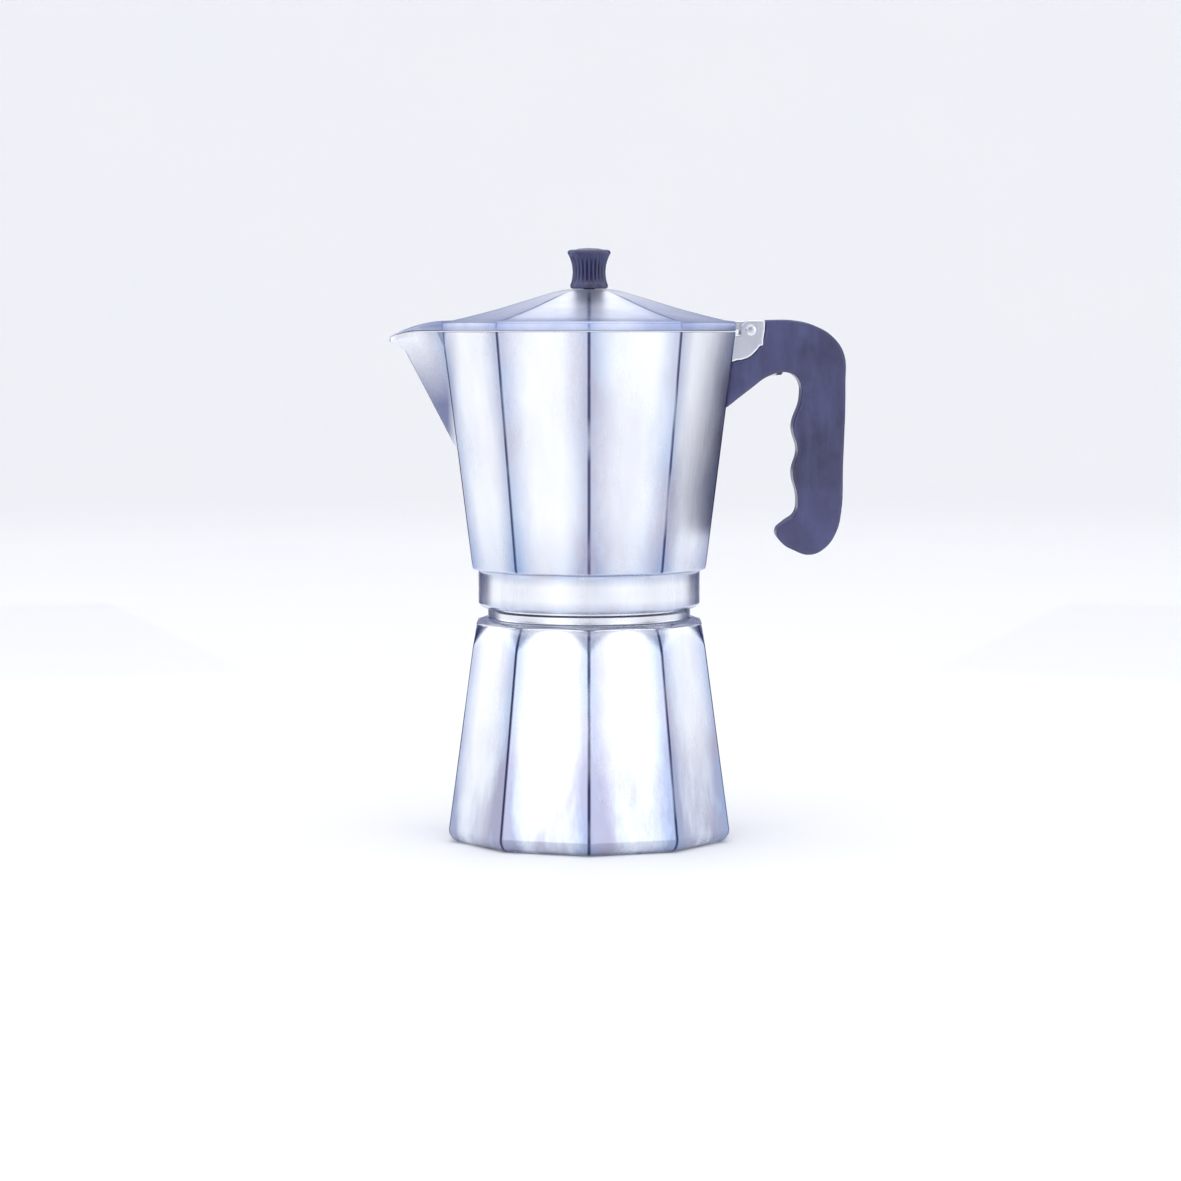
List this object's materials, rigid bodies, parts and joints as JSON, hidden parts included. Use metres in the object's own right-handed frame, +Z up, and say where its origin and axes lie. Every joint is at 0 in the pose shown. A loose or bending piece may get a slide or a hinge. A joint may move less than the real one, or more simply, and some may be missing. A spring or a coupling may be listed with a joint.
{
  "type": "coffee percolator",
  "caption": "Stovetop coffee percolator: ten-sided aluminium boiler and flared upper pot with spout, hinged lid, ribbed knob and dark waved handle.",
  "frame": {"origin": "centre of the boiler's flat underside, on the pot's axis", "axes": "+Z up the pot's axis, +X towards the handle, -X towards the spout, +Y across the pot"},
  "size_m": [0.1631, 0.1092, 0.2117],
  "materials": {
    "cast_aluminium": "polished cast aluminium, satin, cool white",
    "spun_aluminium": "spun and pressed aluminium, fine turned lines",
    "dark_bakelite": "moulded thermoset, dark indigo, half gloss",
    "stainless_steel": "machined stainless steel",
    "brass": "machined brass",
    "copper": "annealed copper washer",
    "silicone_rubber": "moulded silicone, off-white, matt"
  },
  "bodies": {
    "boiler": {"boiler": "cast_aluminium", "valve_washer": "copper", "valve_body": "brass", "valve_retainer": "brass", "valve_spring": "stainless_steel"},
    "relief_pin": {"valve_pin": "stainless_steel"},
    "funnel": {"funnel_cup": "spun_aluminium", "funnel_stem": "spun_aluminium", "funnel_sieve": "spun_aluminium"},
    "gasket": {"gasket": "silicone_rubber"},
    "filter": {"filter_plate": "spun_aluminium"},
    "upper_pot": {"collector": "cast_aluminium", "coffee_column": "spun_aluminium", "handle": "dark_bakelite", "handle_screw": "stainless_steel", "handle_washer": "stainless_steel", "hinge_pin": "stainless_steel"},
    "lid": {"lid": "cast_aluminium", "lid_knob": "dark_bakelite", "knob_insert": "brass", "knob_screw": "stainless_steel", "knob_washer": "stainless_steel"}
  },
  "joints": [
    {"name": "relief_valve", "type": "slide", "parent": "boiler", "child": "relief_pin", "axis": [-0.3063, 0.9428, 0.1314], "range_m": [0, 0.0015], "stiffness_N_per_m": 900, "springref_m": -0.002, "deforming": ["valve_spring"]},
    {"name": "funnel_lift", "type": "slide", "parent": "boiler", "child": "funnel", "axis": [0, 0, 1], "range_m": [0, 0.088]},
    {"name": "collector_lift", "type": "slide", "parent": "funnel", "child": "gasket", "axis": [0, 0, 1], "range_m": [0, 0.03]},
    {"name": "thread_advance", "type": "slide", "parent": "gasket", "child": "filter", "axis": [0, 0, 1], "range_m": [0, 0.0075]},
    {"name": "collector_unscrew", "type": "hinge", "parent": "filter", "child": "upper_pot", "pos_m": [0, 0, 0.088], "axis": [0, 0, 1], "range_deg": [0, 900]},
    {"name": "lid_hinge", "type": "hinge", "parent": "upper_pot", "child": "lid", "pos_m": [0.0575, 0, 0.1824], "axis": [0, 1, 0], "range_deg": [0, 105]}
  ],
  "couplings": [
    {"joint": "thread_advance", "follows": "collector_unscrew", "m_per_rad": 0.00047746}
  ]
}
